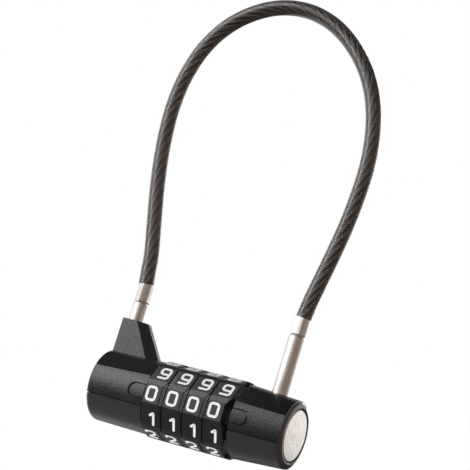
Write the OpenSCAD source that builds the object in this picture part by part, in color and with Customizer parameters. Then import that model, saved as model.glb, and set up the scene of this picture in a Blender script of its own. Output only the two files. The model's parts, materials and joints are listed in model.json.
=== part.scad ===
// Four-dial combination lock with a flexible cable shackle.
// X runs along the body towards the push button, Z up along the shackle, Y to the back.
// The body's axis lies axis_z above the ground, under which the origin sits.

/* [Body] */
// Half of the body's length, from the middle to either end
half_length = 31; // [30:0.5:33]
// Where the middle of the dial stack lies along X
dial_middle = 0.8; // [0.6:0.1:1]
// How far the left housing stands above the dials' flats
left_step = 0.05; // [-0.1:0.05:0.15]
// How much narrower the left housing is at its closed end
left_taper = 0.5; // [0.4:0.1:0.8]
// How far the right housing lies below the dials' flats
right_step = 0.25; // [0.1:0.05:0.35]
// How much narrower the right housing is at the end ring
right_taper = 0.9; // [0.7:0.1:1]
// Rounding of the closed end
end_fillet = 1.2; // [0.8:0.1:1.6]
// Length of the end ring round the button
ring_length = 1; // [1:0.1:1.4]
// How far below the axis the lower covers begin
parting_drop = 4; // [3.6:0.1:4.4]

/* [Dials] */
// Distance from one dial to the next
dial_pitch = 6.6; // [6.5:0.05:6.7]
// Distance from the axis to a digit's flat
facet_r = 10.85; // [10.7:0.05:11]
// How far a dial's ridges stand above its flats
ridge_rise = 0.3; // [0.2:0.05:0.4]
// Width of the raised pad that a digit stands on
facet_w = 5.1; // [4.9:0.05:5.2]
// How far every other pad is set to the left or right
zigzag = 0.55; // [0.4:0.05:0.6]
// How far the pads stand above the dial's ring
pad_rise = 0.2; // [0.15:0.05:0.3]
// Bore of a dial, and the outside of its tumbler
tumbler_r = 6.5; // [6.4:0.1:6.6]
// Width of a tumbler
tumbler_w = 3.2; // [3:0.1:3.2]

/* [Shackle] */
// Diameter of the jacketed cable
cable_d = 4.6; // [4.3:0.1:4.8]
// Diameter of the fixed pin
pin_d = 4.6; // [4.4:0.1:4.6]
// Diameter of the releasing pin
right_pin_d = 4.8; // [4.6:0.1:4.8]
// Size of the hexagonal crimps across their flats
crimp_w = 4.1; // [3.9:0.1:4.3]
// How far the fixed pin stands in from the closed end
left_pin_inset = 3.5; // [3.4:0.1:3.6]
// Where the releasing pin stands along X
right_pin_x = 22.8; // [22.7:0.1:22.9]
// Height of the post's top above the axis
post_top = 20; // [19.6:0.1:20.4]

/* [Lock] */
// How far the button can be pushed in
button_travel = 2; // [1.8:0.1:2]
// Width of the end ring, from its outside to its bore
ring_width = 2.05; // [2:0.05:2.2]
// Radial gap between the push button and its bore
button_gap = 0.1; // [0.05:0.05:0.15]
// Depth of the catch groove in the releasing pin
catch_depth = 0.5; // [0.4:0.05:0.55]

/* [Hidden] */
$fn = 96;

satin_black = [0.11, 0.11, 0.12];
cover_black = [0.13, 0.12, 0.12];
gloss_black = [0.03, 0.03, 0.03];
nickel = [0.72, 0.68, 0.64];
steel = [0.62, 0.62, 0.63];
spring_steel = [0.45, 0.46, 0.48];
jacket = [0.14, 0.13, 0.12];

far = 40;               // longer than anything that it cuts
running_fit = 0.05;     // radial gap of a part that turns or slides
seam_w = 0.3;
seam_depth = 0.3;
edge_bevel = 0.3;
ring_bevel = 0.8;

// Radii of the body
left_dial_r = facet_r + left_step;
right_dial_r = facet_r - right_step;
left_end_r = left_dial_r - left_taper;
right_end_r = right_dial_r - right_taper;
ridge_r = facet_r + ridge_rise;
axis_z = ridge_r;

// Stations along X
left_face = dial_middle - 2 * dial_pitch - 0.15;
right_face = dial_middle + 2 * dial_pitch + 0.8;
ring_start = half_length - ring_length;

// The shoulders: flats along the upper front and back of both housings
shoulder_tilt = 46.5;   // from the vertical to a shoulder's normal
shoulder_ratio = 0.94;  // a shoulder's distance from the axis over the housing's radius

// The post: three planes at its right run out towards its foot
left_pin_x = left_pin_inset - half_length;
post_left = left_pin_x - 2.9;
post_bow = 4.8;         // from the pin's axis to the right plane, at the top
post_slope = 0.7;       // how far the right plane runs out per unit of height
post_flat = 1;          // half the width of the right plane
post_turn = 53;         // between the right plane and the ones beside it
post_corner = 0.5;      // how much of the left corners is cut off
post_half_y = 3.1;      // at the top
post_lean = 0.04;       // how far the front and back run out per unit of height
post_foot = 7;

// The index marks: a rounded tongue outlined by a groove on each housing
mark_h = 4.6;
mark_line = 0.5;
mark_depth = 0.45;
left_mark = 5.2;
left_mark_tip = 0.7;    // width of the groove round its tip
right_mark = 6;
right_mark_tip = 1.2;

// The core: a fixed tube that carries the dials, with the spindle inside it
tube_r = 4.8;
spindle_r = 3.15;
tube_bore = spindle_r + running_fit;
tube_left = -19;
tube_right = 17;
lug_w = 2.2;
lug_t = 0.8;
lug_top = tumbler_r - 0.7;
slot_w = lug_w + 0.4;
lug_gap = (dial_pitch - tumbler_w - lug_t - button_travel) / 2;
slot_start = left_face + 0.2;
slot_end = lug_x(3) + lug_t;
spindle_left = -12;
spindle_right = 18.2;
pocket_r = 6.3;
pocket_end = right_face + 1;

// The dials
dial_count = 4;
digit_count = 10;
digit_turn = 360 / digit_count;
dial_w = facet_w + 2 * zigzag + 0.1;
pad_bend = ridge_half(0) - 0.1;  // how far from a flat's middle its pad's edges begin to slant
pad_joint = ridge_r * sin(digit_turn / 2) - 0.15;  // and where they meet the next flat's
pad_lap = 0.05;
spline_r = 0.45;
gate_turn = [72, 216, 108, 288];
detent_r = 0.35;
spacer_r = tumbler_r - 0.3;
spacer_mouth = 60;
strip_w = 2;
strip_t = 0.5;

// The latch
plate_t = 2;
plate_w = 10;
plate_left = 19.6;
plate_right = 28.2;
tang_w = 4;
tang_length = 1.6;
catch_r = right_pin_d / 2 - catch_depth;
window_left = right_pin_x - catch_r - running_fit;
window_right = right_pin_x + right_pin_d / 2 + button_travel + 0.15;
window_w = right_pin_d + 0.3;
cavity_left = 17.2;
button_back = 28.6;
button_face = half_length - 0.15;
boss_back = 27.7;
boss_r = 3.6;
button_bore = right_end_r - ring_width;
button_r = button_bore - button_gap;
button_room = boss_back - button_travel - 0.15;

// The shackle, as heights above the axis
left_shoulder = 25.6;
left_cable = 31.5;
right_shoulder = 26.9;
right_cable = 32.5;
left_pin_foot = 8;
right_pin_foot = -6.7;
groove_half = 1.2;
spigot_r = 1.2;
spigot_h = 2;
pin_bevel = 0.3;
crimp_bevel = 0.4;
retaining_z = 13;
retaining_r = 0.8;
swivel_groove_r = 1.5;

// The cable's route in the plane of the shackle, as X and the height above the ground
cable_route = [[left_pin_x - 0.4, axis_z + left_cable], [-28.5, 46.6], [-29.3, 51.9], [-31.6, 61],
               [-33.9, 70.2], [-35.8, 79.4], [-37.1, 88.7], [-37.5, 98.1], [-36.4, 107.4],
               [-33.5, 116.3], [-28.2, 124.1], [-20.7, 129.8], [-11.9, 132.9], [-2.6, 132.8],
               [6.2, 129.6], [13.8, 124], [20, 116.9], [24.4, 108.7], [27.1, 99.7], [28.3, 90.3],
               [28.2, 80.9], [27.4, 71.5], [26, 62.2], [24.4, 53], [23.6, 48.2],
               [right_pin_x + 0.3, axis_z + right_cable]];
cable_sides = 10;

// The return spring
coil_turns = 5;
coil_wire_r = 0.3;
coil_r = 2.5;
coil_steps = 12;
wire_sides = 6;

function dial_x(n) = dial_middle + (n - 1.5) * dial_pitch;
function lug_x(n) = dial_x(n) + tumbler_w / 2 + lug_gap + button_travel;
function unit(v) = v / norm(v);

// A solid turned about the body's axis, from points given as [radius, X]
module turned(points) {
    translate([0, 0, axis_z]) rotate([0, 90, 0]) rotate_extrude() polygon(points);
}

// A rod or bore along the body's axis
module along_x(r, from, to) {
    translate([from, 0, axis_z]) rotate([0, 90, 0]) cylinder(r = r, h = to - from);
}

// An upright rod or bore at x, with heights above the axis
module upright(x, r, from, to) {
    translate([x, 0, axis_z + from]) cylinder(r = r, h = to - from);
}

// A box centred across the body, with heights above the axis
module block(from, to, width, bottom, top) {
    translate([from, -width / 2, axis_z + bottom]) cube([to - from, width, top - bottom]);
}

// Cuts the front and back shoulders of a housing that tapers from r0 at x0 to r1 at x1
module shoulder_cuts(x0, r0, x1, r1) {
    for (side = [-1, 1])
        translate([x0, 0, axis_z]) rotate([side * shoulder_tilt, 0, 0])
            translate([0, 0, shoulder_ratio * r0])
                rotate([0, -atan2(shoulder_ratio * (r1 - r0), x1 - x0), 0])
                    translate([-far / 2, -far / 2, 0]) cube(far);
}

// The thin line that shows between a housing and its lower cover
module seam(points) {
    difference() {
        block(-far, far, far, -parting_drop - seam_w / 2, -parting_drop + seam_w / 2);
        turned(points);
    }
}

// The groove round an index mark whose open end is at the dials. floor is the outline of its bottom
module mark_groove(face, length, tip, side, floor) {
    difference() {
        translate([face, 0, axis_z]) rotate([90, 0, 0]) linear_extrude(far) difference() {
            mark_shape(length, mark_h / 2, side);
            mark_shape(length - tip, mark_h / 2 - mark_line, side);
        }
        turned(floor);
    }
}

module mark_shape(length, r, side) {
    translate([side * (length - r), 0]) circle(r);
    translate([side < 0 ? r - length : -1, -r]) square([length - r + 1, 2 * r]);
}

function left_outline(inset) = concat(
    [[0, -half_length + inset]],
    [for (a = [0 : 15 : 90])
        [left_end_r - inset - end_fillet * (1 - sin(a)),
         -half_length + inset + end_fillet * (1 - cos(a))]],
    [[left_dial_r - edge_bevel - inset, left_face], [0, left_face]]);

function right_outline(inset) = [
    [0, right_face],
    [right_dial_r - edge_bevel - inset, right_face],
    [right_dial_r - inset, right_face + edge_bevel],
    [right_end_r - inset, ring_start],
    [0, ring_start]];

module post() {
    reach = post_top - post_foot;
    foot_y = post_half_y + post_lean * reach;
    right = left_pin_x + post_bow;
    slant = post_slope * cos(post_turn);
    intersection() {
        translate([post_left, 0, axis_z]) rotate([90, 0, 90]) linear_extrude(far)
            polygon([[-foot_y, post_foot], [-post_half_y, post_top],
                     [post_half_y, post_top], [foot_y, post_foot]]);
        post_side(right, 0, 0, post_slope);
        post_side(right, -post_flat, -post_turn, slant);
        post_side(right, post_flat, post_turn, slant);
        post_side(post_left, post_corner - post_half_y, -135, 0);
        post_side(post_left, post_half_y - post_corner, 135, 0);
    }
}

// All that lies inside a plane through (x, y) at the post's top, with its outside turned from +X
module post_side(x, y, turn, slope) {
    translate([x, y, axis_z]) rotate([0, 0, turn]) translate([0, far / 2, 0])
        rotate([90, 0, 0]) linear_extrude(far)
            polygon([[-far, post_foot], [-far, post_top],
                     [0, post_top], [slope * (post_top - post_foot), post_foot]]);
}

module left_body() {
    difference() {
        union() {
            difference() {
                turned(left_outline(0));
                shoulder_cuts(-half_length, left_end_r, left_face, left_dial_r);
            }
            post();
        }
        along_x(tube_r, tube_left, far);
        upright(left_pin_x, pin_d / 2 + running_fit, left_pin_foot, far);
        translate([left_pin_x + pin_d / 2 + running_fit, -post_half_y, axis_z + retaining_z])
            rotate([-90, 0, 0]) cylinder(r = retaining_r, h = far);
        mark_groove(left_face, left_mark, left_mark_tip, -1, left_outline(mark_depth));
        seam(left_outline(seam_depth));
    }
}

module left_housing() {
    color(satin_black) difference() {
        left_body();
        block(-far, far, far, -far, -parting_drop);
    }
}

module left_lower_cover() {
    color(cover_black) intersection() {
        left_body();
        block(-far, far, far, -far, -parting_drop);
    }
}

module right_body() {
    difference() {
        turned(right_outline(0));
        shoulder_cuts(right_face, right_dial_r, ring_start, right_end_r);
        along_x(pocket_r, 0, pocket_end);
        along_x(tube_r, 0, tube_right);
        along_x(spindle_r + 0.1, 0, plate_left);
        block(cavity_left, far, plate_w + 0.4, -plate_t / 2 - 0.25, plate_t / 2 + 0.25);
        along_x(button_bore, button_room, far);
        upright(right_pin_x, right_pin_d / 2 + running_fit, right_pin_foot, far);
        mark_groove(right_face, right_mark, right_mark_tip, 1, right_outline(mark_depth));
        seam(right_outline(seam_depth));
    }
}

module right_housing() {
    color(satin_black) difference() {
        right_body();
        block(-far, far, far, -far, -parting_drop);
    }
}

module right_lower_cover() {
    color(cover_black) intersection() {
        right_body();
        block(-far, far, far, -far, -parting_drop);
    }
}

// The glossy ring round the button, bevelled over most of its width
module end_ring() {
    bevel = min(ring_bevel, ring_length - 0.15);
    color(gloss_black) turned([
        [button_bore, ring_start], [right_end_r, ring_start], [right_end_r, half_length - bevel],
        [right_end_r - bevel, half_length - bevel * 0.3],
        [right_end_r - bevel * 1.9, half_length], [button_bore + 0.15, half_length],
        [button_bore, half_length - 0.15]]);
}

module core_tube() {
    color(steel) difference() {
        along_x(tube_r, tube_left, tube_right);
        along_x(tube_bore, tube_left - 1, tube_right + 1);
        block(slot_start, slot_end, slot_w, 0, far);
        block(slot_start, right_face - 0.2, strip_w, -tube_r - 1, -tube_r + strip_t + 0.1);
    }
}

// A leaf spring along the bottom of the core tube that the tumblers click over
module detent_spring() {
    color(spring_steel)
        block(slot_start + 0.2, right_face - 0.4, strip_w, -tube_r + 0.1, -tube_r + strip_t + 0.1);
}

// Open rings that keep the tumblers apart on the core tube
module dial_spacers() {
    gap = dial_pitch - tumbler_w;
    spans = concat(
        [[left_face, dial_x(0) - tumbler_w / 2]],
        [for (n = [0 : dial_count - 2]) [dial_x(n) + tumbler_w / 2, dial_x(n) + tumbler_w / 2 + gap]],
        [[dial_x(3) + tumbler_w / 2, pocket_end]]);
    color(steel) for (span = spans) spacer(span[0], span[1]);
}

module spacer(from, to) {
    difference() {
        along_x(spacer_r, from, to);
        along_x(tube_r, from - 1, to + 1);
        translate([from - 1, 0, axis_z]) rotate([90, 0, 90]) linear_extrude(to - from + 2)
            polygon([[0, 0], far * [-tan(spacer_mouth / 2), 1], far * [tan(spacer_mouth / 2), 1]]);
    }
}

module return_spring() {
    length = spindle_left - tube_left;
    rise = length - 2 * coil_wire_r;
    steps = coil_turns * coil_steps;
    function wire_point(i, k) =
        let (turn = 360 * i / coil_steps, a = 360 * k / wire_sides, r = coil_r + coil_wire_r * cos(a))
        [tube_left + coil_wire_r + rise * i / steps + coil_wire_r * sin(a),
         r * cos(turn), axis_z + r * sin(turn)];
    rings = [for (i = [0 : steps]) [for (k = [0 : wire_sides - 1]) wire_point(i, k)]];
    color(spring_steel) tube_of(rings, wire_sides);
}

// A closed tube through rings of points
module tube_of(rings, sides) {
    last = len(rings) - 1;
    points = [for (ring = rings) for (p = ring) p];
    sides_between = [for (i = [0 : last - 1]) for (k = [0 : sides - 1])
        let (m = (k + 1) % sides) [i * sides + k, i * sides + m, (i + 1) * sides + m, (i + 1) * sides + k]];
    start_cap = [[for (k = [sides - 1 : -1 : 0]) k]];
    end_cap = [[for (k = [0 : sides - 1]) last * sides + k]];
    polyhedron(points, concat(sides_between, start_cap, end_cap), convexity = 10);
}

module cable() {
    last = len(cable_route) - 1;
    function heading(i) =
        i == 0 ? [0, 1] : i == last ? [0, -1] : unit(cable_route[i + 1] - cable_route[i - 1]);
    function ring_point(i, k) =
        let (h = heading(i), a = 360 * k / cable_sides, across = cable_d / 2 * cos(a))
        [cable_route[i][0] + across * h[1], cable_d / 2 * sin(a), cable_route[i][1] - across * h[0]];
    rings = [for (i = [0 : last]) [for (k = [0 : cable_sides - 1]) ring_point(i, k)]];
    color(jacket) tube_of(rings, cable_sides);
}

// The fixed pin turns freely in the post and is held by the retaining pin in its groove
module left_pin() {
    color(nickel) translate([left_pin_x, 0, axis_z]) rotate_extrude() polygon([
        [0, left_pin_foot], [pin_d / 2, left_pin_foot], [pin_d / 2, retaining_z - retaining_r],
        [swivel_groove_r, retaining_z - retaining_r], [swivel_groove_r, retaining_z + retaining_r],
        [pin_d / 2, retaining_z + retaining_r], [pin_d / 2, left_shoulder - pin_bevel],
        [pin_d / 2 - pin_bevel, left_shoulder], [spigot_r, left_shoulder],
        [spigot_r, left_shoulder + spigot_h], [0, left_shoulder + spigot_h]]);
}

module retaining_pin() {
    back = post_half_y + post_lean * (post_top - retaining_z) - 0.2;
    color(steel) translate([left_pin_x + pin_d / 2 + running_fit, -post_half_y, axis_z + retaining_z])
        rotate([-90, 0, 0]) cylinder(r = retaining_r, h = post_half_y + back);
}

// A hexagonal sleeve pressed onto the cable's end, with its corners cut back at both ends
module crimp(x, from, to, turn) {
    corner_r = crimp_w / sqrt(3);
    end_r = corner_r - crimp_bevel;
    color(nickel) translate([x, 0, axis_z]) difference() {
        intersection() {
            translate([0, 0, from]) rotate([0, 0, turn]) cylinder(r = corner_r, h = to - from, $fn = 6);
            rotate_extrude() polygon([[0, from], [end_r, from], [corner_r, from + crimp_bevel],
                                      [corner_r, to - crimp_bevel], [end_r, to], [0, to]]);
        }
        translate([0, 0, from - 1]) cylinder(r = spigot_r, h = spigot_h + 1);
    }
}

module left_crimp() {
    crimp(left_pin_x, left_shoulder, left_cable, 30);
}

module right_crimp() {
    crimp(right_pin_x, right_shoulder, right_cable, 0);
}

// The releasing pin: its lower end tapers in to the catch groove
module right_pin() {
    color(nickel) translate([right_pin_x, 0, axis_z]) rotate_extrude() polygon([
        [0, right_pin_foot], [right_pin_d / 2, right_pin_foot], [catch_r, -groove_half],
        [catch_r, groove_half], [right_pin_d / 2, groove_half],
        [right_pin_d / 2, right_shoulder - pin_bevel],
        [right_pin_d / 2 - pin_bevel, right_shoulder], [spigot_r, right_shoulder],
        [spigot_r, right_shoulder + spigot_h], [0, right_shoulder + spigot_h]]);
}

// A dial: a ring with ten flats and splines in its bore. The raised pads on the flats are set to the
// left and right in turn
module dial_ring(n) {
    color(satin_black) translate([dial_x(n), 0, axis_z]) rotate([0, 90, 0]) difference() {
        union() {
            translate([0, 0, -dial_w / 2]) linear_extrude(n == dial_count - 1 ? facet_w - 0.2 : dial_w)
                polygon(dial_outline(pad_rise));
            for (k = [0 : digit_count - 1])
                rotate([0, 0, k * digit_turn - 90]) dial_pad(k % 2 == 0 ? -zigzag : zigzag);
        }
        cylinder(r = tumbler_r, h = far, center = true);
        dial_splines(spline_r + running_fit);
    }
}

function ridge_half(inset) =
    (ridge_r - inset - (facet_r - inset) * cos(digit_turn / 2)) / sin(digit_turn / 2);

function dial_outline(inset) = [
    for (k = [0 : digit_count - 1], side = [-1, 1])
        let (corner = [facet_r - inset, side * ridge_half(inset)],
             turn = k * digit_turn - 90 + atan2(corner.y, corner.x))
        norm(corner) * [cos(turn), sin(turn)]];

// A flat's pad, whose edges slant near the ridges to meet the next flats' pads
module dial_pad(shift) {
    side = facet_w / 2;
    intersection() {
        linear_extrude(far, center = true) dial_wedge();
        translate([facet_r - 1, 0, 0]) rotate([0, 90, 0]) linear_extrude(far) polygon([
            [side, -far], [side, -pad_joint], [side - shift, -pad_bend], [side - shift, pad_bend],
            [side, pad_joint], [side, far], [-side, far], [-side, pad_joint],
            [-side - shift, pad_bend], [-side - shift, -pad_bend], [-side, -pad_joint], [-side, -far]]);
    }
}

// One flat seen from the side, with half of each ridge and a little more, so that neighbours overlap
module dial_wedge() {
    half = digit_turn / 2;
    end = ridge_r * [cos(half), sin(half)] + pad_lap * [-sin(half), cos(half)];
    polygon([[0, 0], [end.x, -end.y], [facet_r, -ridge_half(0)], [facet_r, ridge_half(0)], end]);
}

module dial_splines(r) {
    for (k = [0 : digit_count - 1])
        rotate([0, 0, k * digit_turn]) translate([tumbler_r, 0, 0]) cylinder(r = r, h = far, center = true);
}

// A tumbler turns with its dial and has a gate for the spindle's lug
module tumbler(n) {
    color(steel) translate([dial_x(n), 0, axis_z]) rotate([0, 90, 0]) difference() {
        intersection() {
            union() {
                cylinder(r = tumbler_r, h = tumbler_w, center = true);
                dial_splines(spline_r);
            }
            cylinder(r = tumbler_r + 1, h = tumbler_w, center = true);
        }
        cylinder(r = tube_r + running_fit, h = far, center = true);
        rotate([0, 0, gate_turn[n]]) translate([0, -slot_w / 2, -far / 2]) cube([lug_top + 0.2, slot_w, far]);
        for (k = [0 : digit_count - 1])
            rotate([0, 0, k * digit_turn]) translate([tube_r + running_fit, 0, 0])
                cylinder(r = detent_r, h = far, center = true);
    }
}

// The spindle slides in the core tube, with one lug for each dial
module spindle() {
    color(steel) difference() {
        union() {
            along_x(spindle_r, spindle_left, spindle_right);
            for (n = [0 : dial_count - 1])
                block(lug_x(n), lug_x(n) + lug_t, lug_w, 0, lug_top);
        }
        block(spindle_right - tang_length, far, tang_w, -plate_t / 2, plate_t / 2);
    }
}

// The plate whose window edge sits in the releasing pin's groove
module latch_plate() {
    color(steel) difference() {
        union() {
            block(plate_left, plate_right - 0.55, plate_w, -plate_t / 2, plate_t / 2);
            block(spindle_right - tang_length, plate_right, tang_w, -plate_t / 2, plate_t / 2);
        }
        block(window_left, window_right, window_w, -plate_t, plate_t);
    }
}

module button() {
    color(nickel) difference() {
        union() {
            turned([[0, button_back], [button_r, button_back], [button_r, button_face - 0.25],
                    [button_r - 0.25, button_face], [0, button_face]]);
            along_x(boss_r, boss_back, button_back);
        }
        block(0, plate_right, tang_w, -plate_t / 2, plate_t / 2);
    }
}

left_housing();
left_lower_cover();
right_housing();
right_lower_cover();
end_ring();
core_tube();
detent_spring();
dial_spacers();
return_spring();
left_pin();
left_crimp();
retaining_pin();
cable();
dial_ring(0);  // dial_ring_1
dial_ring(1);  // dial_ring_2
dial_ring(2);  // dial_ring_3
dial_ring(3);  // dial_ring_4
tumbler(0);  // tumbler_1
tumbler(1);  // tumbler_2
tumbler(2);  // tumbler_3
tumbler(3);  // tumbler_4
spindle();
latch_plate();
button();
right_pin();
right_crimp();
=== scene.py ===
"""Looks for the cable padlock: its materials, digits, cable, pins, studio and camera, in metres."""

import json
import math

import bmesh
import bpy
import numpy as np
from mathutils import Matrix, Vector
from mathutils.bvhtree import BVHTree


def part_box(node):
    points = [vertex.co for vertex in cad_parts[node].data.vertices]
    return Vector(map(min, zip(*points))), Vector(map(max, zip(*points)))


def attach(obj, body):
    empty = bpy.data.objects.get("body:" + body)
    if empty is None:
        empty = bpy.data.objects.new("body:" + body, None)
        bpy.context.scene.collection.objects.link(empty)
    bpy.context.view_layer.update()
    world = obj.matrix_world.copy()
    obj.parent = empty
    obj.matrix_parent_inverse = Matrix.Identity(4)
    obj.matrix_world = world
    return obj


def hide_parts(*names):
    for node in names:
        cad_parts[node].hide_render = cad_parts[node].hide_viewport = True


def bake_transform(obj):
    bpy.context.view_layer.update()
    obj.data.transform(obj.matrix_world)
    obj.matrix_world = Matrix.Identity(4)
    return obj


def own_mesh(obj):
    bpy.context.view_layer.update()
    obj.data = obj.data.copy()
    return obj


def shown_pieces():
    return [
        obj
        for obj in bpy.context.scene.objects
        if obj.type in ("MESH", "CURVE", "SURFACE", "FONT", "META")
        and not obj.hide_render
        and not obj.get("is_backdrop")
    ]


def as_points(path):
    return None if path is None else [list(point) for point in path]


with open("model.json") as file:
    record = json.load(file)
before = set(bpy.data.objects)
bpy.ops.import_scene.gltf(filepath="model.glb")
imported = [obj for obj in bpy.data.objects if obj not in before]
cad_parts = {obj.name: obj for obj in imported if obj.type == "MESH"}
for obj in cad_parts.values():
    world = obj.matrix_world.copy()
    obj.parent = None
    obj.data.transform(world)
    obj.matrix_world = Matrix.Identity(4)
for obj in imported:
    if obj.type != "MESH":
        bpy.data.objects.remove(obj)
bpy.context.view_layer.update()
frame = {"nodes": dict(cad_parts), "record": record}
MM = 0.001
# Points closer than this are one point: in the script's own meshes, and in copies of CAD nodes
MERGE_OWN, MERGE_CAD = 1e-8, 1e-7
X, Y, Z = Vector((1, 0, 0)), Vector((0, 1, 0)), Vector((0, 0, 1))

# ---------------------------------------------------------------- camera
PHOTO_W, PHOTO_H = 470, 470
CAMERA_AT = Vector((0.21737, -0.45187, -0.02693))
CAMERA_AIM = Vector((-0.00004, -0.01019, 0.06050))
CAMERA_ROLL = math.radians(17.26)
LENS_MM = 135.83
SENSOR_MM = 36.0

# The image points, in pixels of the photograph
POINTS = {
    "left_x": (87.5, None),
    "right_x": (312.3, None),
    "top_y": (None, 282.5),
    "bottom_y": (None, 469.0),
    "zero_1": (151.8, 393.9),
    "zero_4": (213.3, 409.3),
    "nine_1": (165.4, 374.0),
    "nine_4": (227.6, 390.1),
    "one_1": (152.6, 419.7),
    "one_4": (214.5, 435.2),
    "button_middle": (295.0, 436.3),
    "left_pin_top": (142.9, 302.7),
    "right_pin_top": (297.5, 336.7),
    "left_cable_end": (146.2, 284.3),
    "right_cable_end": (305.5, 318.0),
}


def make_camera():
    data = bpy.data.cameras.new("camera")
    data.sensor_fit = "AUTO"
    data.sensor_width = SENSOR_MM
    data.lens = LENS_MM
    data.clip_start = 0.01
    data.clip_end = 50
    cam = bpy.data.objects.new("camera", data)
    bpy.context.scene.collection.objects.link(cam)
    forward = (CAMERA_AIM - CAMERA_AT).normalized()
    level = forward.cross(Z).normalized()
    upright = level.cross(forward)
    right = level * math.cos(CAMERA_ROLL) + upright * math.sin(CAMERA_ROLL)
    axes = Matrix((right, right.cross(forward), -forward)).transposed().to_4x4()
    cam.matrix_world = Matrix.Translation(CAMERA_AT) @ axes
    bpy.context.scene.camera = cam
    bpy.context.view_layer.update()
    return cam


camera = make_camera()


def photo_ray(x, y):
    """The camera's ray through a pixel of the photograph, in world axes."""
    data, long_side = camera.data, max(PHOTO_W, PHOTO_H)
    ray = Vector((
        x - PHOTO_W / 2 + data.shift_x * long_side,
        PHOTO_H / 2 - y + data.shift_y * long_side,
        -long_side * data.lens / data.sensor_width,
    ))
    return (camera.matrix_world.to_3x3() @ ray).normalized()


# Where a ray that misses is searched: from and to in metres from the camera, and the number of steps
MISS_SEARCH = (0.3, 0.7, 400)


def place(point, tree):
    """Where a named image point lies on the surface of a BVHTree. A miss takes the place nearest the ray."""
    ray = photo_ray(*POINTS[point])
    hit = tree.ray_cast(camera.location, ray)[0]
    if hit is not None:
        return hit
    nearest = [tree.find_nearest(camera.location + ray * t)[0] for t in np.linspace(*MISS_SEARCH)]
    return min(nearest, key=lambda p: (p - camera.location).cross(ray).length)


def seen_at(point):
    """The photograph's pixel at which a point in space shows."""
    data, long_side = camera.data, max(PHOTO_W, PHOTO_H)
    p = camera.matrix_world.inverted() @ Vector(point)
    scale = -long_side * data.lens / data.sensor_width / p.z
    return (
        p.x * scale + PHOTO_W / 2 - data.shift_x * long_side,
        PHOTO_H / 2 + data.shift_y * long_side - p.y * scale,
    )


def tree_of(node):
    data = frame["nodes"][node].data
    return BVHTree.FromPolygons([v.co for v in data.vertices], [p.vertices for p in data.polygons])


# ---------------------------------------------------------------- meshes
TURNED_SIDES = 96


def new_piece(name, points, faces, body, material, sharp=30):
    """A closed mesh piece that rides on a body, smooth up to the sharp angle."""
    data = bpy.data.meshes.new(name)
    data.from_pydata([tuple(p) for p in points], [], faces)
    data.materials.append(material)
    piece = bpy.data.objects.new(name, data)
    bpy.context.scene.collection.objects.link(piece)
    finish_mesh(data, sharp)
    if body:
        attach(piece, body)
    return piece


def finish_mesh(data, sharp):
    work = bmesh.new()
    work.from_mesh(data)
    bmesh.ops.remove_doubles(work, verts=work.verts, dist=MERGE_OWN)
    bmesh.ops.recalc_face_normals(work, faces=work.faces)
    work.to_mesh(data)
    work.free()
    data.shade_smooth()
    data.set_sharp_from_angle(angle=math.radians(sharp))


def lathe(name, profile, start, axis, side, body, material, sharp=30):
    """A solid turned about an axis from (radius, distance along the axis) pairs in millimetres."""
    other = axis.cross(side)
    points, faces = [], []
    for radius, along in profile:
        for k in range(TURNED_SIDES):
            turn = 2 * math.pi * k / TURNED_SIDES
            out = side * math.cos(turn) + other * math.sin(turn)
            points.append(start + axis * along * MM + out * radius * MM)
    for i in range(len(profile) - 1):
        for k in range(TURNED_SIDES):
            m = (k + 1) % TURNED_SIDES
            a, b = i * TURNED_SIDES, (i + 1) * TURNED_SIDES
            faces.append((a + k, a + m, b + m, b + k))
    faces.append(tuple(range(TURNED_SIDES)))
    last = (len(profile) - 1) * TURNED_SIDES
    faces.append(tuple(last + k for k in reversed(range(TURNED_SIDES))))
    return new_piece(name, points, faces, body, material, sharp)


def sweep(path, radius, sides, offset=None):
    """Points and faces of a tube along a path in the XZ plane. offset(i) is how far out of the bend
    and across it the tube's centre lies."""
    points, faces = [], []
    count = len(path)
    for i, p in enumerate(path):
        ahead = (path[min(i + 1, count - 1)] - path[max(i - 1, 0)]).normalized()
        out = ahead.cross(Y)
        du, dv = offset(i) if offset else (0, 0)
        for k in range(sides):
            turn = 2 * math.pi * k / sides
            u, v = du + radius * math.cos(turn), dv + radius * math.sin(turn)
            points.append(p + out * u + Y * v)
    for i in range(count - 1):
        for k in range(sides):
            m = (k + 1) % sides
            faces.append((i * sides + k, i * sides + m, (i + 1) * sides + m, (i + 1) * sides + k))
    faces.append(tuple(reversed(range(sides))))
    faces.append(tuple((count - 1) * sides + k for k in range(sides)))
    return points, faces


# ---------------------------------------------------------------- materials
def new_material(name, base, roughness, metallic=0.0, **plain):
    """A Principled material. plain holds more of its sockets by name, with _ for a space."""
    mat = bpy.data.materials.new(name)
    mat.use_nodes = True
    shader = mat.node_tree.nodes["Principled BSDF"]
    shader.inputs["Base Color"].default_value = (*base, 1)
    shader.inputs["Roughness"].default_value = roughness
    shader.inputs["Metallic"].default_value = metallic
    for key, value in plain.items():
        shader.inputs[key.replace("_", " ")].default_value = value
    return mat


def add_to(tree, kind, inputs=None, **settings):
    """A new node in a node tree. An input is either another node's output or a plain value."""
    made = tree.nodes.new(kind)
    for key, value in settings.items():
        setattr(made, key, value)
    for key, value in (inputs or {}).items():
        if isinstance(value, bpy.types.NodeSocket):
            tree.links.new(value, made.inputs[key])
        else:
            made.inputs[key].default_value = value
    return made


def add_node(mat, kind, inputs=None, **settings):
    return add_to(mat.node_tree, kind, inputs, **settings)


def connect(mat, output, socket):
    mat.node_tree.links.new(output, mat.node_tree.nodes["Principled BSDF"].inputs[socket])


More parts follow.
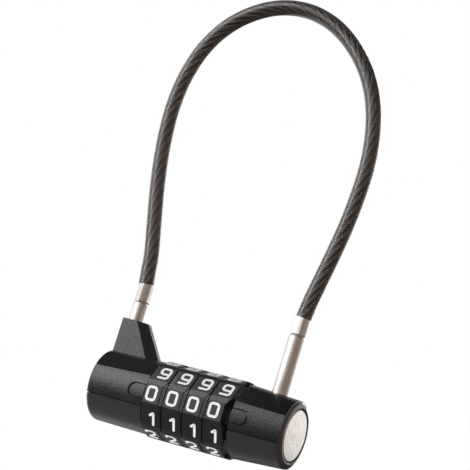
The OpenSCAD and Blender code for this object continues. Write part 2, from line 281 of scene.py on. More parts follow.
def grain(mat, size_mm, detail=2.0, stretch=None):
    """Noise with features of that size, fixed to the piece."""
    spot = add_node(mat, "ShaderNodeTexCoord").outputs["Object"]
    if stretch:
        spot = add_node(mat, "ShaderNodeMapping", {"Vector": spot, "Scale": stretch}).outputs[0]
    return add_node(mat, "ShaderNodeTexNoise", {
        "Vector": spot, "Scale": 1 / (size_mm * MM), "Detail": detail}).outputs["Fac"]


def spread(mat, value, low, high):
    """A noise value's middle range stretched between low and high."""
    return add_node(mat, "ShaderNodeMapRange", {
        "Value": value, "From Min": 0.3, "From Max": 0.7, "To Min": low, "To Max": high}).outputs[0]


def tones(mat, value, dark, light):
    ramp = add_node(mat, "ShaderNodeValToRGB", {"Fac": value})
    ramp.color_ramp.elements[0].position, ramp.color_ramp.elements[1].position = 0.35, 0.65
    ramp.color_ramp.elements[0].color = (*dark, 1)
    ramp.color_ramp.elements[1].color = (*light, 1)
    return ramp.outputs[0]


def bump(mat, value, height_mm):
    return add_node(mat, "ShaderNodeBump", {
        "Height": value, "Distance": height_mm * MM, "Strength": 1.0}).outputs["Normal"]


def sparkle_paint(name, dark, light, roughness, sparkle, gloss=0.55):
    """Satin black paint with fine metal flakes and a slight unevenness."""
    mat = new_material(name, light, roughness, 0.0, Specular_IOR_Level=gloss)
    connect(mat, tones(mat, grain(mat, 0.35, 3), dark, light), "Base Color")
    connect(mat, spread(mat, grain(mat, 0.6), roughness - 0.06, roughness + 0.06), "Roughness")
    connect(mat, bump(mat, grain(mat, 0.33, 1), 0.085 * sparkle), "Normal")
    return mat


def nickel_plate(name, base, roughness, stretch, size_mm):
    """Polished plate with faint drawn or turned marks."""
    mat = new_material(name, base, roughness, 1.0)
    marks = grain(mat, size_mm, 3, stretch)
    connect(mat, tones(mat, grain(mat, 3.0, 2), [c * 0.94 for c in base], base), "Base Color")
    connect(mat, spread(mat, marks, roughness * 0.7, roughness * 1.3), "Roughness")
    connect(mat, bump(mat, marks, 0.004), "Normal")
    return mat


satin_black = sparkle_paint("satin_black", (0.004, 0.004, 0.005), (0.014, 0.014, 0.016), 0.36, 1.0)
dial_black = sparkle_paint("dial_black", (0.010, 0.010, 0.012), (0.018, 0.018, 0.021), 0.36, 0.6, 0.4)
smooth_black = sparkle_paint("smooth_black", (0.004, 0.004, 0.005), (0.008, 0.008, 0.009), 0.22, 0.08)
cover_black = sparkle_paint("cover_black", (0.026, 0.023, 0.023), (0.036, 0.033, 0.033), 0.34, 0.25)
gloss_black = new_material("gloss_black", (0.006, 0.006, 0.007), 0.1, IOR=1.9)
connect(gloss_black, spread(gloss_black, grain(gloss_black, 1.5), 0.05, 0.1), "Roughness")
pin_nickel = nickel_plate("pin_nickel", (0.80, 0.76, 0.72), 0.26, (1, 1, 0.04), 0.25)
button_nickel = nickel_plate("button_nickel", (0.90, 0.84, 0.79), 0.3, (0.04, 1, 1), 0.9)
steel = nickel_plate("steel", (0.55, 0.55, 0.56), 0.35, (0.05, 1, 1), 0.3)
digit_white = new_material("digit_white", (0.9, 0.9, 0.9), 0.45)
connect(digit_white, tones(digit_white, grain(digit_white, 0.3), (0.84, 0.84, 0.83), (0.94, 0.94, 0.94)),
        "Base Color")
connect(digit_white, bump(digit_white, grain(digit_white, 0.15), 0.01), "Normal")


def strand_steel():
    """Bright wires with painted shade in the gaps between them: each strand's wires run at a slant to it."""
    mat = new_material("strand_steel", (0.5, 0.48, 0.46), 0.32, 0.9)
    spot = add_node(mat, "ShaderNodeAttribute", attribute_name="wires").outputs["Vector"]
    parts = add_node(mat, "ShaderNodeSeparateXYZ", {"Vector": spot}).outputs
    turn = add_node(mat, "ShaderNodeMath", {0: parts[0], 1: parts[1]}, operation="ADD").outputs[0]
    wave = add_node(mat, "ShaderNodeMath", {0: turn}, operation="SINE").outputs[0]
    level = add_node(mat, "ShaderNodeMapRange", {
        "Value": wave, "From Min": -1.0, "From Max": 0.6}).outputs[0]
    ramp = add_node(mat, "ShaderNodeValToRGB", {"Fac": level})
    # The ramp's dark end is painted shade in the grooves between the wires; its light end is the wires' own
    # steel colour
    ramp.color_ramp.elements[0].color = (0.03, 0.026, 0.023, 1)
    ramp.color_ramp.elements[1].color = (0.60, 0.57, 0.54, 1)
    connect(mat, ramp.outputs[0], "Base Color")
    connect(mat, spread(mat, grain(mat, 0.5), 0.35, 0.5), "Roughness")
    connect(mat, bump(mat, level, 0.03), "Normal")
    return mat


# The rougher coat is what shows the softbox as a streak along the cable
jacket_clear = new_material("jacket_clear", (0.42, 0.39, 0.365), 0.03, 0.0, IOR=1.35, Transmission_Weight=1.0,
                            Coat_Weight=0.9, Coat_Roughness=0.16, Coat_IOR=1.5)
connect(jacket_clear, bump(jacket_clear, grain(jacket_clear, 2.5), 0.02), "Normal")
strands_material = strand_steel()

NODE_LOOKS = {
    "left_housing": satin_black, "right_housing": satin_black,
    "left_lower_cover": cover_black, "right_lower_cover": cover_black,
    "core_tube": steel, "detent_spring": steel, "dial_spacers": steel, "retaining_pin": steel,
    "spindle": steel, "latch_plate": steel,
}
for n in range(1, 5):
    NODE_LOOKS[f"dial_ring_{n}"] = dial_black
    NODE_LOOKS[f"tumbler_{n}"] = steel
for node, look in NODE_LOOKS.items():
    for held in frame["nodes"][node].material_slots:
        held.material = look

# ---------------------------------------------------------------- housings and dials
BODY_AXIS = (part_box("button")[0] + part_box("button")[1]) / 2
# The shoulders by the dials are the flat faces that look up at this angle, give or take the tolerance
SHOULDER_NORMAL, SHOULDER_TOLERANCE = math.radians(43.5), 0.02
# The post's upright left edges, in millimetres: where they lie, the least length, and their rounding
POST_CORNER_X, POST_CORNER_Y, POST_EDGE_LEAST, POST_ROUND = (-30.2, -29.2), 3.0, 5, 0.62
# A face counts as turned if it lies outside the radius, isn't square to the axis, its middle is about
# as far out as its corners, and it looks away from the axis within the angle
TURNED_OUTSIDE, TURNED_LEVEL, TURNED_BULGE = 8.2 * MM, 0.2, 0.99
TURNED_OFF = math.cos(math.radians(4))
FLAT_ANGLE, EDGE_ANGLE = math.radians(0.4), math.radians(24)


def round_post(work):
    """Rounds the post's two left corners."""
    def at_corner(vert):
        return POST_CORNER_X[0] < vert.co.x / MM < POST_CORNER_X[1] and abs(vert.co.y) / MM > POST_CORNER_Y

    edges = [e for e in work.edges if all(map(at_corner, e.verts))
             and abs(e.verts[0].co.z - e.verts[1].co.z) > POST_EDGE_LEAST * MM]
    bmesh.ops.bevel(work, geom=edges, offset=POST_ROUND * MM, segments=5, affect="EDGES", profile=0.5)


def turned_normals(data):
    """Gives the faces that are turned about the body's axis the normals of a true surface of revolution."""
    normals = [c.vector.copy() for c in data.corner_normals]
    for face in data.polygons:
        way = Vector((0, face.center.y - BODY_AXIS.y, face.center.z - BODY_AXIS.z))
        reach = [math.hypot(data.vertices[v].co.y - BODY_AXIS.y, data.vertices[v].co.z - BODY_AXIS.z)
                 for v in face.vertices]
        level = Vector((0, face.normal.y, face.normal.z))
        if min(reach) < TURNED_OUTSIDE or level.length < TURNED_LEVEL:
            continue
        if way.length < TURNED_BULGE * sum(reach) / len(reach):
            continue
        if level.normalized().dot(way.normalized()) < TURNED_OFF:
            continue
        for i in face.loop_indices:
            place_at = data.vertices[data.loops[i].vertex_index].co
            out = Vector((0, place_at.y - BODY_AXIS.y, place_at.z - BODY_AXIS.z)).normalized()
            along = face.normal.x if abs(face.normal.x) < 0.1 else normals[i].x
            normals[i] = X * along + out * math.sqrt(max(0.0, 1 - along**2))
    data.normals_split_custom_set([tuple(n) for n in normals])


def soften(node, body, width_mm, smooth=None):
    """A copy of a CAD node with its sharp edges rounded. Its shoulders take the smooth material, if any."""
    data = frame["nodes"][node].data.copy()
    piece = bpy.data.objects.new(f"{node}_soft", data)
    bpy.context.scene.collection.objects.link(piece)
    work = bmesh.new()
    work.from_mesh(data)
    bmesh.ops.remove_doubles(work, verts=work.verts, dist=MERGE_CAD)
    bmesh.ops.dissolve_limit(work, angle_limit=FLAT_ANGLE, verts=work.verts, edges=work.edges)
    if node == "left_housing":
        round_post(work)
    work.to_mesh(data)
    work.free()
    edge = piece.modifiers.new("edge", "BEVEL")
    edge.width = width_mm * MM
    edge.segments = 2
    edge.limit_method = "ANGLE"
    edge.angle_limit = EDGE_ANGLE
    edge.harden_normals = True
    edge.use_clamp_overlap = True
    data = bpy.data.meshes.new_from_object(piece.evaluated_get(bpy.context.evaluated_depsgraph_get()))
    piece.modifiers.clear()
    piece.data = data
    if smooth:
        turned_normals(data)
        data.materials.append(smooth)
        for face in data.polygons:
            off_y = abs(abs(face.normal.y) - math.cos(SHOULDER_NORMAL))
            off_z = abs(face.normal.z - math.sin(SHOULDER_NORMAL))
            if max(off_y, off_z) < SHOULDER_TOLERANCE and face.area > MM**2:
                face.material_index = 1
    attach(piece, body)
    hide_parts(node)


for node in ("left_housing", "left_lower_cover", "right_housing", "right_lower_cover"):
    soften(node, "lock_body", 0.1, smooth_black)
# The bevel collapses on the fourth ring, into faces of no area, so that ring stays as it comes
for n in range(1, 4):
    soften(f"dial_ring_{n}", f"dial_{n}", 0.08)

# ---------------------------------------------------------------- cable
CABLE_D = 4.6 * MM
CABLE_ROUTE = [
    (-27.9, 42.65), (-28.5, 46.6), (-29.3, 51.9), (-31.6, 61), (-33.9, 70.2), (-35.8, 79.4), (-37.1, 88.7),
    (-37.5, 98.1), (-36.4, 107.4), (-33.5, 116.3), (-28.2, 124.1), (-20.7, 129.8), (-11.9, 132.9),
    (-2.6, 132.8), (6.2, 129.6), (13.8, 124), (20, 116.9), (24.4, 108.7), (27.1, 99.7), (28.3, 90.3),
    (28.2, 80.9), (27.4, 71.5), (26, 62.2), (24.4, 53), (23.6, 48.2), (23.1, 43.65),
]
CURVE_STEPS, PATH_STEP = 24, 0.9 * MM
STRAND_SIDES, JACKET_SIDES = 12, 32
STRAND_COUNT = 6
STRAND_R = 0.59 * MM
STRAND_AT = 1.17 * MM
CORE_R = 0.57 * MM
LAY_LENGTH = 23 * MM
WIRES = 7
WIRE_LAY = 9 * MM


def smooth_path(route, step):
    """Points a step apart on a smooth curve through the route."""
    knots = [Vector((x * MM, 0, z * MM)) for x, z in route]
    knots = [knots[0] * 2 - knots[1], *knots, knots[-1] * 2 - knots[-2]]
    fine = []
    for a, b, c, d in zip(knots, knots[1:], knots[2:], knots[3:]):
        for t in np.linspace(0, 1, CURVE_STEPS, endpoint=False):
            fine.append((b * 2 + (c - a) * t + (a * 2 - b * 5 + c * 4 - d) * t**2
                         + (b * 3 - a - c * 3 + d) * t**3) / 2)
    fine.append(knots[-2])
    reach = np.concatenate([[0], np.cumsum([(q - p).length for p, q in zip(fine, fine[1:])])])
    count = int(round(reach[-1] / step)) + 1
    at = np.linspace(0, reach[-1], count)
    return [Vector((float(np.interp(s, reach, [p.x for p in fine])), 0,
                    float(np.interp(s, reach, [p.z for p in fine])))) for s in at], reach[-1]


cable_path, cable_length = smooth_path(CABLE_ROUTE, PATH_STEP)


def make_strands():
    """Six strands twisted round a core, with the phase of their wires kept in an attribute."""
    points, faces, phases = [], [], []
    step = cable_length / (len(cable_path) - 1)
    for s in range(STRAND_COUNT + 1):
        is_core = s == STRAND_COUNT

        def offset(i, s=s):
            turn = 2 * math.pi * (s / STRAND_COUNT + i * step / LAY_LENGTH)
            return STRAND_AT * math.cos(turn), -STRAND_AT * math.sin(turn)

        tube, sheets = sweep(cable_path, CORE_R if is_core else STRAND_R, STRAND_SIDES,
                             None if is_core else offset)
        base = len(points)
        points += tube
        faces += [tuple(base + v for v in face) for face in sheets]
        for i in range(len(cable_path)):
            for k in range(STRAND_SIDES):
                phases.append((2 * math.pi * WIRES * k / STRAND_SIDES,
                               2 * math.pi * WIRES * i * step / WIRE_LAY, 0))
    piece = new_piece("cable_strands", points, faces, None, strands_material, 60)
    return piece, phases


cable_strands, wire_phases = make_strands()
wires = cable_strands.data.attributes.new("wires", "FLOAT_VECTOR", "POINT")
wires.data.foreach_set("vector", np.array(wire_phases, np.float32).ravel())
jacket_points, jacket_faces = sweep(cable_path, CABLE_D / 2, JACKET_SIDES)
cable_jacket = new_piece("cable_jacket", jacket_points, jacket_faces, None, jacket_clear, 60)
LEFT_END, RIGHT_END = cable_path[0], cable_path[-1]
for piece in (cable_strands, cable_jacket):
    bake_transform(piece)
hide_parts("cable")
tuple(LEFT_END)
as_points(cable_path)


# ---------------------------------------------------------------- pins and sleeves
CORNER_POINTS = 4
# The sleeves, in millimetres: across their flats, their corners' radius, and the bore for the pin
CRIMP_W, CRIMP_SOFT, BORE_R, BORE_DEPTH = 4.1, 0.28, 1.2, 2.0


def middle_x(node):
    low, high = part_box(node)
    return (low.x + high.x) / 2


def axis_point(node):
    return Vector((middle_x(node), 0, BODY_AXIS.z))


def rounded(profile, radius):
    """A turned profile with its inner corners rounded."""
    out = [profile[0]]
    for a, p, b in zip(profile, profile[1:], profile[2:]):
        a, p, b = Vector(a), Vector(p), Vector(b)
        reach = min(radius, (a - p).length / 2, (b - p).length / 2)
        start, end = p + (a - p).normalized() * reach, p + (b - p).normalized() * reach
        for t in np.linspace(0, 1, CORNER_POINTS):
            out.append(tuple(start * (1 - t)**2 + p * 2 * t * (1 - t) + end * t**2))
    return out + [profile[-1]]


left_pin = lathe("left_pin_turned", rounded([
    (0.01, 8), (2.3, 8), (2.3, 12.2), (1.5, 12.2), (1.5, 13.8), (2.3, 13.8), (2.3, 25.3), (2.0, 25.6),
    (1.2, 25.6), (1.2, 27.6), (0.01, 27.6)], 0.08),
    axis_point("left_pin"), Z, X, "lock_body", pin_nickel, sharp=50)
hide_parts("left_pin")
right_pin = lathe("right_pin_turned", rounded([
    (0.01, -6.7), (2.4, -6.7), (1.9, -1.2), (1.9, 1.2), (2.4, 1.2), (2.4, 26.6), (2.1, 26.9),
    (1.2, 26.9), (1.2, 28.9), (0.01, 28.9)], 0.08),
    axis_point("right_pin"), Z, X, "release_pin", pin_nickel, sharp=50)
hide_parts("right_pin")


def make_crimp(name, node, body, turn):
    """A hexagonal sleeve with soft corners, its ends cut back, and a bore for the pin's spigot."""
    low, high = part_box(node)
    corner, flat_half = CRIMP_W / math.sqrt(3), CRIMP_W / 2
    ring = []
    for k in range(6):
        for part in (-1, 0, 1):
            a = math.radians(60 * k + turn)
            centre = Vector((math.cos(a), math.sin(a))) * (corner - CRIMP_SOFT / math.cos(math.radians(30)))
            b = a + part * math.radians(30)
            ring.append(centre + Vector((math.cos(b), math.sin(b))) * CRIMP_SOFT)
    heights = [(low.z, 0.82), (low.z + 0.12 * MM, 0.90), (low.z + 0.45 * MM, 1.0),
               (high.z - 0.35 * MM, 1.0), (high.z - 0.1 * MM, 0.92), (high.z, 0.86)]
    points, faces = [], []
    sides = len(ring)
    for height, scale in heights:
        for p in ring:
            reach = min(p.length, max(scale * corner, flat_half * 0.93 if scale < 1 else corner))
            q = p.normalized() * reach if p.length > scale * corner else p
            points.append(Vector((middle_x(node) + q.x * MM, q.y * MM, height)))
    for i in range(len(heights) - 1):
        for k in range(sides):
            m = (k + 1) % sides
            faces.append((i * sides + k, i * sides + m, (i + 1) * sides + m, (i + 1) * sides + k))
    base = len(points)
    for depth in (0, BORE_DEPTH):
        for p in ring:
            q = p.normalized() * BORE_R
            points.append(Vector((middle_x(node) + q.x * MM, q.y * MM, low.z + depth * MM)))
    for k in range(sides):
        m = (k + 1) % sides
        faces.append((k, base + k, base + m, m))
        faces.append((base + k, base + sides + k, base + sides + m, base + m))
    faces.append(tuple(base + sides + k for k in range(sides)))
    faces.append(tuple((len(heights) - 1) * sides + k for k in range(sides)))
    piece = new_piece(name, points, faces, body, pin_nickel, 20)
    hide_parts(node)


make_crimp("left_sleeve", "left_crimp", "lock_body", 30)
make_crimp("right_sleeve", "right_crimp", "release_pin", 0)

# ---------------------------------------------------------------- digits
DIGIT_W, DIGIT_H, STROKE = 3.4, 4.35, 0.74
HALF_W, HALF_H, BEND = (DIGIT_W - STROKE) / 2, (DIGIT_H - STROKE) / 2, 0.75
INNER = HALF_W - STROKE / 2
# How far a digit's underside and face lie from the dial's flat, in millimetres
DIGIT_LOW, DIGIT_HIGH = -0.03, 0.03
ROW_TURN = 36
ARC_POINTS, CAP_STEPS, MITRE_LEAST = 7, 8, 0.6
ROUND, CUT = True, False
SIX = [(HALF_W, HALF_H, 0), (-HALF_W, HALF_H, BEND), (-HALF_W, -HALF_H, BEND), (HALF_W, -HALF_H, BEND),
       (HALF_W, 0.25, BEND), (-INNER, 0.25, 0)]
LOOP = [(-HALF_W, -HALF_H, BEND), (HALF_W, -HALF_H, BEND), (HALF_W, HALF_H, BEND), (-HALF_W, HALF_H, BEND)]
# Each digit's strokes: corners with their radius, whether it closes, and whether its ends are round
DIGITS = [
    [(LOOP, True, CUT, CUT)],
    [([(-0.85, HALF_H - 0.8, 0), (0.22, HALF_H, 0.12), (0.22, -HALF_H, 0)], False, ROUND, ROUND)],
    [([(-HALF_W, HALF_H - 0.85, 0), (-HALF_W, HALF_H, BEND), (HALF_W, HALF_H, BEND), (HALF_W, 0.2, 0.6),
       (-HALF_W, -HALF_H, 0.25), (HALF_W, -HALF_H, 0)], False, ROUND, ROUND)],
    [([(-HALF_W, HALF_H, 0), (HALF_W, HALF_H, BEND), (HALF_W, -HALF_H, BEND), (-HALF_W, -HALF_H, 0)],
      False, ROUND, ROUND), ([(-0.5, 0, 0), (INNER, 0, 0)], False, ROUND, CUT)],
    [([(0.15, HALF_H, 0), (-HALF_W, -0.6, 0.2), (HALF_W, -0.6, 0)], False, ROUND, ROUND),
     ([(0.6, 0.5, 0), (0.6, STROKE / 2 - 0.6, 0)], False, ROUND, CUT),
     ([(0.6, -STROKE / 2 - 0.6, 0), (0.6, -HALF_H, 0)], False, CUT, ROUND)],
    [([(HALF_W, HALF_H, 0), (-HALF_W, HALF_H, 0.15), (-HALF_W, 0.3, 0.15), (HALF_W, 0.3, BEND),
       (HALF_W, -HALF_H, BEND), (-HALF_W, -HALF_H, 0)], False, ROUND, ROUND)],
    [(SIX, False, ROUND, CUT)],
    [([(-HALF_W, HALF_H, 0), (HALF_W, HALF_H, 0.25), (-0.3, -HALF_H, 0)], False, ROUND, ROUND)],
    [(LOOP, True, CUT, CUT), ([(-INNER, 0, 0), (INNER, 0, 0)], False, CUT, CUT)],
    [([(-u, -v, r) for u, v, r in SIX], False, ROUND, CUT)],
]


def stroke_line(corners):
    """The stroke's middle line, with an arc at each corner that has a radius."""
    line = []
    for i, (u, v, radius) in enumerate(corners):
        p = Vector((u, v))
        if not radius:
            line.append(p)
            continue
        back = (Vector(corners[i - 1][:2]) - p).normalized()
        on = (Vector(corners[(i + 1) % len(corners)][:2]) - p).normalized()
        half = back.angle(on) / 2
        centre = p + (back + on).normalized() * radius / math.sin(half)
        start = p + back * radius / math.tan(half) - centre
        sweep_angle = start.angle_signed(p + on * radius / math.tan(half) - centre)
        for t in np.linspace(0, 1, ARC_POINTS):
            line.append(centre + Matrix.Rotation(-sweep_angle * t, 2) @ start)
    return line


def stroke_solid(corners, closed, start_round, end_round, to_space, points, faces):
    """Adds a stroke as a thin closed solid. to_space turns (u, v, height) into a point."""
    line = stroke_line(corners)
    count = len(line)
    rows = []
    for i, p in enumerate(line):
        before = line[i - 1] if i or closed else None
        after = line[(i + 1) % count] if i < count - 1 or closed else None
        d0 = (p - before).normalized() if before else (after - p).normalized()
        d1 = (after - p).normalized() if after else d0
        ahead = (d0 + d1).normalized()
        side = Vector((-ahead.y, ahead.x)) * (STROKE / 2 / max(MITRE_LEAST, ahead.dot(d1)))
        rows.append((p + side, p - side))
    base = len(points)
    for height in DIGIT_LOW, DIGIT_HIGH:
        for left, right in rows:
            points.append(to_space(left, height))
            points.append(to_space(right, height))
    top = base + 2 * count
    for i in range(count if closed else count - 1):
        a, b = 2 * i, 2 * ((i + 1) % count)
        faces.append((base + a, base + b, base + b + 1, base + a + 1))
        faces.append((top + a, top + a + 1, top + b + 1, top + b))
        faces.append((base + a, top + a, top + b, base + b))
        faces.append((base + a + 1, base + b + 1, top + b + 1, top + a + 1))
    if closed:
        return
    for end, is_round, way in ((0, start_round, -1), (count - 1, end_round, 1)):
        left, right = 2 * end, 2 * end + 1
        if not is_round:
            faces.append((base + left, base + right, top + right, top + left))
            continue
        p = line[end]
        spoke = rows[end][0] - p
        first = len(points)
        turns = [math.pi * t / CAP_STEPS for t in range(1, CAP_STEPS)]
        for height in DIGIT_LOW, DIGIT_HIGH:
            for turn in turns:
                points.append(to_space(p + Matrix.Rotation(-way * turn, 2) @ spoke, height))
        middle, past = first + len(turns), first + 2 * len(turns)
        low_rim = [base + left, *range(first, middle), base + right]
        high_rim = [top + left, *range(middle, past), top + right]
        faces.append(tuple(low_rim))
        faces.append(tuple(reversed(high_rim)))
        for a, b, c, d in zip(low_rim, low_rim[1:], high_rim[1:], high_rim):
            faces.append((a, b, c, d))


digit_places = {}


def dial_middle(n):
    """Where a dial's joint lies on the body's axis: its pads stand to both sides of it in turn."""
    joint = next(j for j in frame["record"]["behaviour"]["joints"] if j["name"] == f"dial_{n}_turn")
    return Vector(joint["pos_m"])


def row_axes(k):
    """The way that the flat of digit k looks, and the way up on it."""
    turn = math.radians(ROW_TURN * k)
    return Vector((0, -math.cos(turn), -math.sin(turn))), Vector((0, -math.sin(turn), math.cos(turn)))


def make_digits(n, shifts):
    """The ten digits of a dial as thin white solids on its flats. shifts are the offsets of rows 0, 1 and 9,
    and of them the other even rows follow 0 and the other odd rows 9."""
    flat_r = -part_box(f"dial_ring_{n}")[0].y
    centre = dial_middle(n)
    points, faces = [], []
    for k, strokes in enumerate(DIGITS):
        out, up = row_axes(k)
        dx, dv = shifts.get(k, shifts[k % 2 * 9])
        middle = centre + X * dx + out * flat_r + up * dv

        def to_space(p, height, middle=middle, out=out, up=up):
            return middle + (X * p.x + up * p.y + out * height) * MM

        for corners, closed, start_round, end_round in strokes:
            stroke_solid(corners, closed, start_round, end_round, to_space, points, faces)
        digit_places[n, k] = middle
    new_piece(f"digits_{n}", points, faces, f"dial_{n}", digit_white)


def row_shift(names, k):
    """How far a row of digits lies from the middles of its flats, by the image points of its two ends."""
    offsets = []
    up = row_axes(k)[1]
    for name, n in zip(names, (1, 4)):
        hit = place(name, tree_of(f"dial_ring_{n}")) - dial_middle(n)
        offsets.append((hit.x, hit.dot(up)))
    return tuple(sum(part) / len(part) for part in zip(*offsets))


shifts = {k: row_shift((f"{name}_1", f"{name}_4"), k) for k, name in ((0, "zero"), (1, "one"), (9, "nine"))}
for n in range(1, 5):
    make_digits(n, shifts)

# ---------------------------------------------------------------- spring
spring = bpy.data.objects.new("return_spring_wire", frame["nodes"]["return_spring"].data.copy())
bpy.context.scene.collection.objects.link(spring)
spring.data.materials.clear()
spring.data.materials.append(steel)
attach(spring, "lock_body")
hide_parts("return_spring")
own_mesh(spring)

# ---------------------------------------------------------------- button and end ring
RING_SIDES = 128
button = lathe("button_turned", rounded([
    (0.01, -2.25), (7.5, -2.25), (7.5, -0.5), (7.3, -0.2), (7.1, 0.0), (0.01, 0.0)], 0.08),
    Vector((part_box("button")[1].x, 0, BODY_AXIS.z)), X, Y, "push_button", button_nickel)
lathe("button_boss", rounded([(0.01, -3.15), (3.6, -3.15), (3.6, -2.2), (0.01, -2.2)], 0.05),
      Vector((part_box("button")[1].x, 0, BODY_AXIS.z)), X, Y, "push_button", steel)
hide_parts("button")


def make_ring():
    """The glossy ring: a closed loop turned about the body's axis."""
    outline = rounded([
        (7.6, -1.0), (9.7, -1.0), (9.7, -0.85), (9.42, -0.78), (8.9, -0.36), (8.2, -0.12), (7.85, -0.1),
        (7.6, -0.35), (7.6, -1.0)], 0.08)[:-1]
    start = Vector((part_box("end_ring")[1].x, 0, BODY_AXIS.z))
    points, faces = [], []
    for k in range(RING_SIDES):
        turn = 2 * math.pi * k / RING_SIDES
        out = Y * math.cos(turn) + Z * math.sin(turn)
        points += [start + X * along * MM + out * radius * MM for radius, along in outline]
    size = len(outline)
    for k in range(RING_SIDES):
        m = (k + 1) % RING_SIDES
        for i in range(size):
            j = (i + 1) % size
            faces.append((k * size + i, k * size + j, m * size + j, m * size + i))
    piece = new_piece("end_ring_turned", points, faces, "lock_body", gloss_black)
    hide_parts("end_ring")


make_ring()

# ---------------------------------------------------------------- studio
# What gloss sees, a white wall and table and a warm side: the middle, half-width and soft edge of each in
# degrees round the object, and the heights between which it starts or ends
WALL, WALL_TOP, TABLE_EDGE = (155, 125, 34), (0.68, 0.44), (-0.08, 0.06)
TABLE, TABLE_END = (163, 42, 9), (-0.86, -0.66)
ROOM_WARM, ROOM_WARM_AT = (0.26, 0.205, 0.175), (-19, 66, 20)
WARM_TOP, WARM_END = (0.8, 0.5), (-0.7, -0.4)
ROOM_DARK = (0.10, 0.095, 0.095)
# The soft light on the object, from straight below and from straight above
AMBIENT_BELOW, AMBIENT_ABOVE = 1.08, 0.5
FLOOR_HALF, FLOOR_GLOW = 1.5, 0.45


def make_world():
    """White to the camera, and softly lit from below. Gloss sees a white backdrop behind and to the left,
    a brown patch at the right, and a dark room elsewhere."""
    world = bpy.data.worlds.new("studio")
    bpy.context.scene.world = world
    world.use_nodes = True
    world.cycles.sampling_method = "NONE"
    tree = world.node_tree
    tree.nodes.clear()

    def add(kind, inputs=None, **settings):
        return add_to(tree, kind, inputs, **settings)

    def ease(value, start, end, low=0.0, high=1.0):
        return add("ShaderNodeMapRange", {
            "Value": value, "From Min": start, "From Max": end, "To Min": low, "To Max": high},
            interpolation_type="SMOOTHSTEP").outputs[0]

    def both(a, b, operation="MULTIPLY"):
        return add("ShaderNodeMath", {0: a, 1: b}, operation=operation).outputs[0]

    def mix(factor, a, b):
        made = add("ShaderNodeMix", {0: factor}, data_type="RGBA")
        for socket, value in ((6, a), (7, b)):
            if isinstance(value, bpy.types.NodeSocket):
                tree.links.new(value, made.inputs[socket])
            else:
                made.inputs[socket].default_value = (*value, 1)
        return made.outputs[2]

    way = add("ShaderNodeTexCoord").outputs["Generated"]
    height = add("ShaderNodeSeparateXYZ", {"Vector": way}).outputs["Z"]
    level = add("ShaderNodeVectorMath", {0: way, 1: (1, 1, 0)}, operation="MULTIPLY").outputs[0]
    level = add("ShaderNodeVectorMath", {0: level}, operation="NORMALIZE").outputs[0]

    def sector(middle, half, soft):
        ahead = (math.cos(math.radians(middle)), math.sin(math.radians(middle)), 0)
        toward = add("ShaderNodeVectorMath", {0: level, 1: ahead}, operation="DOT_PRODUCT").outputs["Value"]
        return ease(toward, math.cos(math.radians(half + soft)), math.cos(math.radians(half - soft)))

    wall = both(sector(*WALL), ease(height, *WALL_TOP))
    behind = both(wall, ease(height, *TABLE_EDGE))
    below = both(sector(*TABLE), both(ease(height, *WALL_TOP), ease(height, *TABLE_END)))
    warm = both(sector(*ROOM_WARM_AT), both(ease(height, *WARM_TOP), ease(height, *WARM_END)))
    room = mix(both(behind, below, "MAXIMUM"), mix(warm, ROOM_DARK, ROOM_WARM), (1, 1, 1))
    ambient = ease(height, -1, 1, AMBIENT_BELOW, AMBIENT_ABOVE)
    soft = add("ShaderNodeCombineXYZ", {0: ambient, 1: ambient, 2: ambient})
    sees = add("ShaderNodeLightPath").outputs
    gloss = both(sees["Is Glossy Ray"], sees["Is Transmission Ray"], "MAXIMUM")
    final = mix(gloss, soft.outputs[0], room)
    final = mix(sees["Is Camera Ray"], final, (1, 1, 1))
    background = add("ShaderNodeBackground", {"Color": final, "Strength": 1.0})
    add("ShaderNodeOutputWorld", {"Surface": background.outputs[0]})


def make_lamp(name, at, aim, width, height, radiance, colour=(1, 1, 1)):
    """A softbox. radiance is what a mirror would show of it, where 1 is white."""
    data = bpy.data.lights.new(name, "AREA")
    data.shape = "RECTANGLE"
    data.size = width
    data.size_y = height
    data.energy = radiance * math.pi * width * height
    data.color = colour
    lamp = bpy.data.objects.new(name, data)
    bpy.context.scene.collection.objects.link(lamp)
    lamp.location = at
    lamp.rotation_euler = (Vector(aim) - Vector(at)).to_track_quat("-Z", "Y").to_euler()
    return lamp


def make_floor():
    """A pale floor that only shows from above: it takes the object's shadow and hides nothing from below."""
    mat = bpy.data.materials.new("floor")
    mat.use_nodes = True
    tree = mat.node_tree
    tree.nodes.clear()
    diffuse = add_to(tree, "ShaderNodeBsdfDiffuse", {"Color": (0.9, 0.9, 0.9, 1)}).outputs[0]
    glow = add_to(tree, "ShaderNodeEmission", {"Strength": FLOOR_GLOW}).outputs[0]
    pale = add_to(tree, "ShaderNodeAddShader", {0: diffuse, 1: glow}).outputs[0]
    clear = add_to(tree, "ShaderNodeBsdfTransparent").outputs[0]
    below = add_to(tree, "ShaderNodeNewGeometry").outputs["Backfacing"]
    shown = add_to(tree, "ShaderNodeMixShader", {0: below, 1: pale, 2: clear}).outputs[0]
    add_to(tree, "ShaderNodeOutputMaterial", {"Surface": shown})
    half = FLOOR_HALF
    data = bpy.data.meshes.new("floor")
    data.from_pydata([(-half, -half, 0), (half, -half, 0), (half, half, 0), (-half, half, 0)], [],
                     [(0, 1, 2, 3)])
    data.materials.append(mat)
    floor = bpy.data.objects.new("floor", data)
    bpy.context.scene.collection.objects.link(floor)
    floor.visible_glossy = False
    floor.visible_diffuse = False
    floor.visible_transmission = False
    floor.visible_shadow = False
    floor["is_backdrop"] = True


make_world()
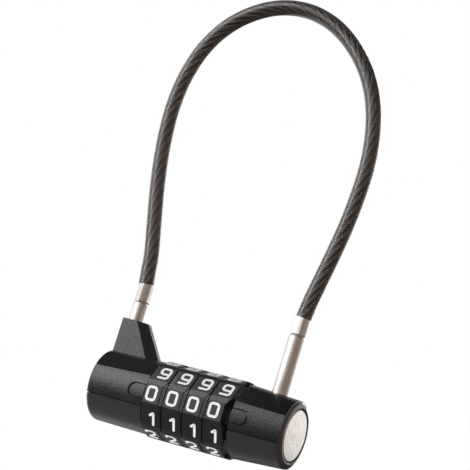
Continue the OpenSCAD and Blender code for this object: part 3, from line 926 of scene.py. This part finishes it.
# One softbox at the left as two lamps: key lights the surfaces, and key_gloss is how bright it looks in them
KEY_AT, KEY_AIM, KEY_SIZE = (-0.229, -0.225, 0.194), (-0.024, 0, 0.011), (0.17, 0.35)
RIM_AT, RIM_AIM, RIM_SIZE = (0.02, 0.50, 0.26), (-0.01, 0, 0.03), (0.10, 0.5)
key = make_lamp("key", KEY_AT, KEY_AIM, *KEY_SIZE, 1.9)
key.visible_glossy = False
key_gloss = make_lamp("key_gloss", KEY_AT, KEY_AIM, *KEY_SIZE, 11.0, (0.96, 0.96, 1.0))
key_gloss.visible_diffuse = False
# Seen only in glossy surfaces, from behind: it lights the right edges of the post and the pins
rim = make_lamp("rim", RIM_AT, RIM_AIM, *RIM_SIZE, 2.6)
rim.visible_diffuse = False
for lamp in (key, rim):
    lamp.visible_transmission = False
make_floor()
bpy.context.scene.view_settings.view_transform = "Standard"


# ---------------------------------------------------------------- measures
def shown_vertices():
    """Every finished vertex of the pieces that show, in pixels, without the cable."""
    out = []
    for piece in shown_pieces():
        if piece.name in ("cable_jacket", "cable_strands"):
            continue
        out += [seen_at(piece.matrix_world @ v.co) for v in piece.data.vertices]
    return np.array(out)


def measure_points():
    seen = shown_vertices()
    (left, top), (right, bottom) = seen.min(0), seen.max(0)
    shown = {"left_x": (left, None), "right_x": (right, None),
             "top_y": (None, top), "bottom_y": (None, bottom)}
    for name, n, k in (("zero_1", 1, 0), ("zero_4", 4, 0), ("nine_1", 1, 9), ("nine_4", 4, 9),
                       ("one_1", 1, 1), ("one_4", 4, 1)):
        shown[name] = seen_at(digit_places[n, k])
    shown["button_middle"] = seen_at(Vector((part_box("button")[1].x, 0, BODY_AXIS.z)))
    shown["left_pin_top"] = seen_at(Vector((middle_x("left_pin"), 0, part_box("left_crimp")[0].z)))
    shown["right_pin_top"] = seen_at(Vector((middle_x("right_pin"), 0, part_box("right_crimp")[0].z)))
    shown["left_cable_end"] = seen_at(LEFT_END)
    shown["right_cable_end"] = seen_at(RIGHT_END)
    off = {}
    for name, point in POINTS.items():
        if name in shown:
            off[name] = [None if want is None else round(got - want, 2)
                         for want, got in zip(point, shown[name])]
    return off


measure_points()
